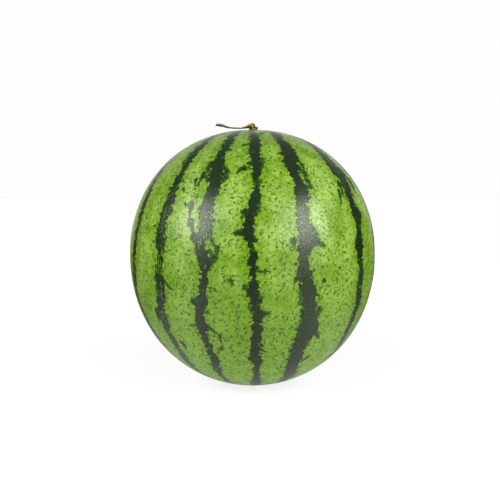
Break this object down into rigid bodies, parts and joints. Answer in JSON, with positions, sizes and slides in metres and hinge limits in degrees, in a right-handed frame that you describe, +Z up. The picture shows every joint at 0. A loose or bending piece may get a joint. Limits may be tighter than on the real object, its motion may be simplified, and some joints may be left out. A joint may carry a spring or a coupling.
{
  "type": "watermelon",
  "caption": "Whole round watermelon with dark jagged stripes on light green rind and a dried, curled stem, standing on its blossom end.",
  "frame": {"origin": "centre of the small flat spot at the blossom end that the fruit rests on", "axes": "+Z up along the fruit's axis to the stem end, the stem's loose tail towards -X, the pictured front towards -Y"},
  "size_m": [0.2402, 0.2399, 0.2547],
  "materials": {
    "rind": "smooth waxy rind with a soft gloss, light yellow-green with fine darker flecks and jagged blackish-green stripes from end to end",
    "dry_stem": "dry, ridged and fibrous, tan to dark brown, matt"
  },
  "bodies": {
    "root": {"fruit": "rind", "stem": "dry_stem"}
  },
  "joints": []
}
